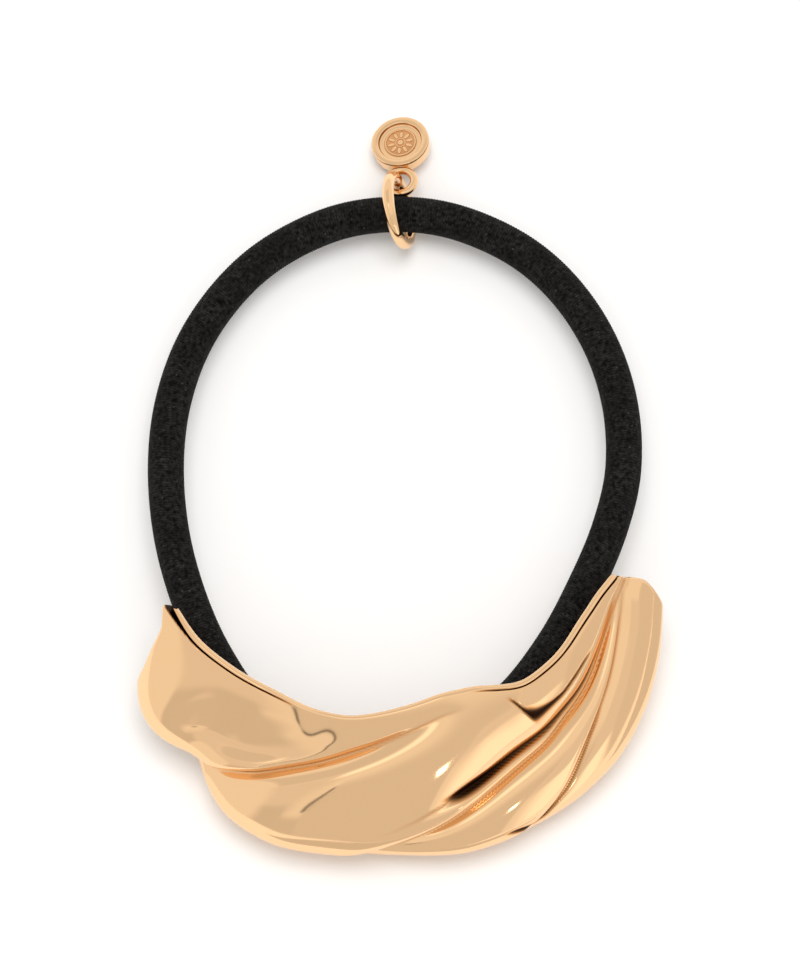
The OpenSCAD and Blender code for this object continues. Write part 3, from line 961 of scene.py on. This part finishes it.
# The studio as the metal sees it: panels round the object, each painted over those before it.
# Leftmost and rightmost angle to the side, lowest and highest angle up from the front and over to
# the back, softness of the upright sides, softness of the level sides, brightness
PANELS = [
    (-43.0, -22.0, 30.0, 99.0, 8.0, 14.0, 0.84),
    (-43.0, -26.5, -10.0, 40.0, 6.0, 16.0, 0.72),
    (-32.0, -12.0, -10.0, 24.0, 8.0, 12.0, 0.73),
    (-17.0, 24.0, -10.0, 64.0, 1.0, 20.0, 0.77),
    (-18.0, -17.0, 29.5, 60.0, 0.7, 4.0, 0.10),
    (24.0, 60.0, 38.0, 76.0, 4.0, 8.0, 0.84),
    (30.0, 51.0, -10.0, 38.0, 9.0, 4.0, 1.34),
    (-24.0, -6.0, 84.0, 95.0, 6.0, 6.0, 1.35),
    (-40.0, 10.0, 100.0, 140.0, 3.0, 8.0, 0.76),
    (55.0, 90.0, 0.0, 110.0, 6.0, 14.0, 0.78),
]
studio_white = 0.96
# Red, green and blue of the studio's white and of its panels, for a brightness of 1
studio_tint = (1.0, 0.98, 0.95)
panel_tint = (1.0, 0.975, 0.95)
# Cards on the floor in front and to the right, which dull its reflection in the metal's lower edge:
# lowest and highest x, lowest and highest y, brightness.
# Places and sizes here and below are in metres.
FLOOR_CARDS = [
    (-0.030, 0.036, -0.40, -0.066, 0.72),
    (0.043, 0.40, -0.05, 0.06, 0.76),
]
floor_card_height = 0.0002
# A small bright card for the metal's white spots: azimuth, elevation and distance, size, colour.
spot_place = (25, 37, 0.45)
spot_size = (0.025, 0.035)
spot_glow = (4.0, 4.0, 3.9)
crescent_middle = (0, -0.035, 0.01)
# The lamp: its size and power, and how far it is aside, behind and above the object's middle
lamp_size = 0.6
lamp_power = 4.2
lamp_aside = 0.02
lamp_behind = 0.12
lamp_height = 1.0


def tinted(glow, tint):
    return tuple(glow * part for part in tint)


def within(nodes, links, value, start, end, softness):
    """1 between start and end and 0 outside, as two soft steps to be multiplied."""
    half = softness / 2
    rise = soft_step(nodes, links, value, start - half, start + half)
    return rise, soft_step(nodes, links, value, end + half, end - half)


def make_world():
    world = bpy.data.worlds.new("studio")
    bpy.context.scene.world = world
    world.use_nodes = True
    nodes, links = world.node_tree.nodes, world.node_tree.links
    place = nodes.new("ShaderNodeTexCoord")
    parts = nodes.new("ShaderNodeSeparateXYZ")
    links.new(place.outputs["Generated"], parts.inputs[0])
    x, y, z = parts.outputs
    back = math_node(nodes, links, "MULTIPLY", y, -1.0)
    degrees = 180 / math.pi
    aside = math_node(nodes, links, "MULTIPLY", math_node(nodes, links, "ARCSINE", x), degrees)
    over = math_node(nodes, links, "MULTIPLY", math_node(nodes, links, "ARCTAN2", z, back), degrees)
    colour = None
    for low, high, bottom, top, side_softness, level_softness, glow in PANELS:
        first, *others = (within(nodes, links, aside, low, high, side_softness)
                          + within(nodes, links, over, bottom, top, level_softness))
        inside = first
        for step in others:
            inside = math_node(nodes, links, "MULTIPLY", inside, step)
        layer = nodes.new("ShaderNodeMix")
        layer.data_type = "RGBA"
        links.new(inside, layer.inputs["Factor"])
        if colour is None:
            layer.inputs["A"].default_value = (*tinted(studio_white, studio_tint), 1)
        else:
            links.new(colour, layer.inputs["A"])
        layer.inputs["B"].default_value = (*tinted(glow, panel_tint), 1)
        colour = layer.outputs["Result"]
    links.new(colour, nodes["Background"].inputs["Color"])


make_world()


def card(name, placed, width, height, glow):
    """A glowing panel that only shows in reflections."""
    deselect_all()
    bpy.ops.mesh.primitive_plane_add(size=1)
    panel = bpy.context.object
    panel.name = name
    panel.data.transform(placed @ Matrix.Diagonal((width, height, 1, 1)))
    material, nodes, links = new_material(name)
    nodes.remove(nodes["Principled BSDF"])
    light = nodes.new("ShaderNodeEmission")
    light.inputs["Color"].default_value = (*glow, 1)
    links.new(light.outputs[0], nodes["Material Output"].inputs["Surface"])
    panel.data.materials.append(material)
    panel.visible_camera = False
    panel.visible_diffuse = False
    panel.visible_shadow = False
    panel.visible_transmission = False


def spot_card():
    """The card for the white spots, which faces the crescent from its front right."""
    azimuth, elevation, distance = spot_place
    a, e = math.radians(azimuth), math.radians(elevation)
    away = Vector((math.sin(a) * math.cos(e), -math.cos(a) * math.cos(e), math.sin(e)))
    facing = away.to_track_quat("Z", "Y").to_matrix().to_4x4()
    centre = Vector(crescent_middle) + away * distance
    card("spot", Matrix.Translation(centre) @ facing, *spot_size, spot_glow)


spot_card()
for i, (left, right, near, far, glow) in enumerate(FLOOR_CARDS):
    middle = Vector(((left + right) / 2, (near + far) / 2, floor_card_height))
    card("floor_card_%d" % (i + 1), Matrix.Translation(middle), right - left, far - near,
         tinted(glow, panel_tint))


def overhead_light():
    """The soft lamp above and a little behind, which isn't seen in the metal."""
    data = bpy.data.lights.new("overhead", "AREA")
    data.shape = "DISK"
    data.size = lamp_size
    data.energy = lamp_power
    lamp = bpy.data.objects.new("overhead", data)
    bpy.context.scene.collection.objects.link(lamp)
    lamp.location = (lamp_aside, lamp_behind, lamp_height)
    lamp.rotation_euler = (-math.atan2(lamp_behind, lamp_height), 0, 0)
    lamp.visible_glossy = False


overhead_light()


def make_camera():
    data = bpy.data.cameras.new("camera")
    camera = bpy.data.objects.new("camera", data)
    bpy.context.scene.collection.objects.link(camera)
    data.sensor_width = sensor_size
    data.lens = sensor_size * view_scale * view_distance / image_height
    data.clip_start = 0.01
    data.clip_end = 20
    rise = math.radians(view_elevation)
    camera.location = Vector(to_frame) + MM * Vector(
        (view_aside, -view_distance * math.cos(rise), view_distance * math.sin(rise)))
    camera.rotation_euler = (math.pi / 2 - rise, 0, 0)
    bpy.context.scene.camera = camera


make_camera()
bpy.context.scene.view_settings.view_transform = "Standard"
